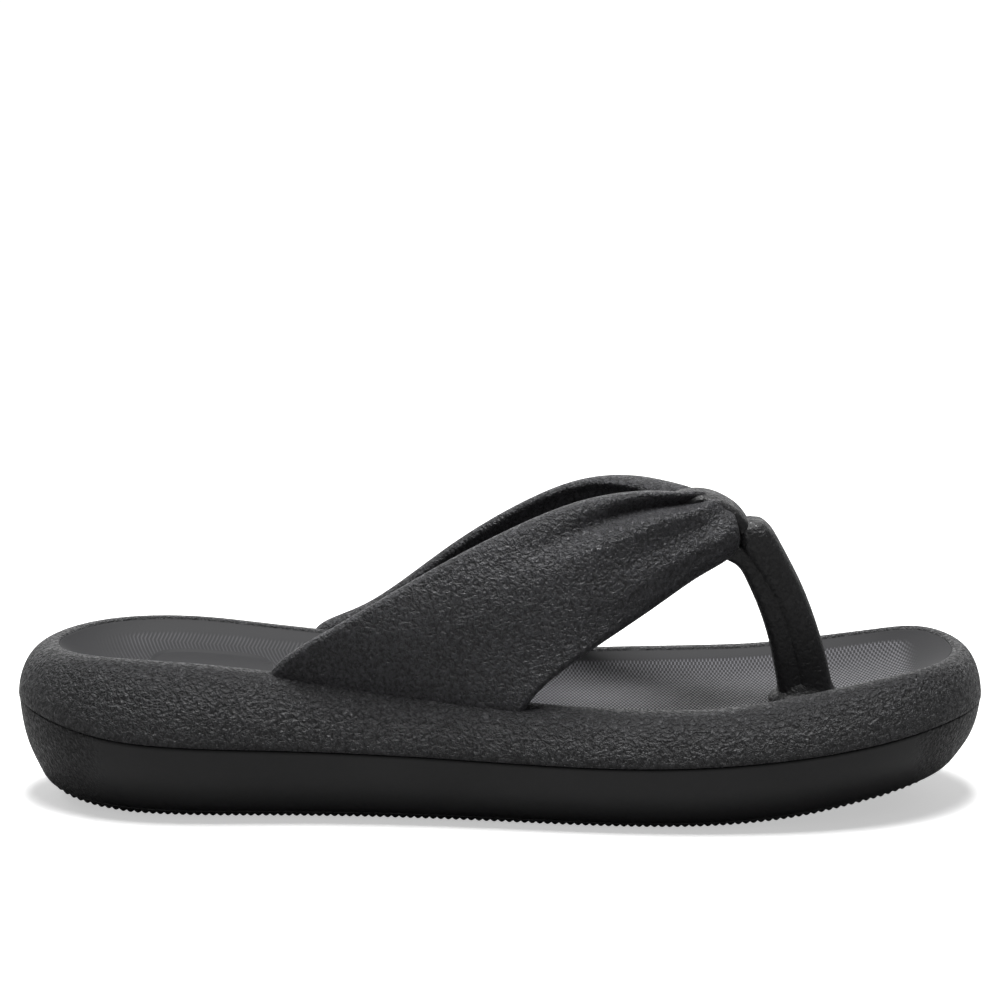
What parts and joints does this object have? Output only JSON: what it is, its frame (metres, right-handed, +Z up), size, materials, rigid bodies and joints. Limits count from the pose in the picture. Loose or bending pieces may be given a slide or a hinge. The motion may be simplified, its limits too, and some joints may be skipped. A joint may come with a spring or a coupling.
{
  "type": "thong sandal",
  "caption": "Chunky black moulded-foam flip flop for the left foot, with a thick rounded sole, a dished footbed and gathered straps held by a toe loop.",
  "frame": {"origin": "bottom centre of the sandal's bounding box, on the ground", "axes": "+X towards the toe, +Y towards the little-toe side of a left foot, +Z up"},
  "size_m": [0.27, 0.0986, 0.0878],
  "materials": {
    "outsole_rubber": "matt black moulded foam rubber with fine cross ribs",
    "midsole_foam": "smooth matt black moulded EVA foam",
    "rim_foam": "black moulded EVA foam with a pebbled leather-like grain",
    "footbed_foam": "satin black EVA foam with a fine mesh in the forefoot and fine ribs at the heel",
    "strap_foam": "soft black EVA foam with a pebbled leather-like grain",
    "toe_strap_foam": "soft black EVA foam, lightly grained",
    "anchor_plastic": "plain dark moulded plastic"
  },
  "bodies": {
    "root": {"outsole": "outsole_rubber", "lower_midsole": "midsole_foam", "upper_midsole": "rim_foam", "footbed": "footbed_foam", "medial_strap": "strap_foam", "lateral_strap": "strap_foam", "medial_strap_anchor": "anchor_plastic", "lateral_strap_anchor": "anchor_plastic", "toe_strap": "toe_strap_foam", "toe_post_collar": "toe_strap_foam", "toe_anchor": "anchor_plastic"}
  },
  "joints": []
}
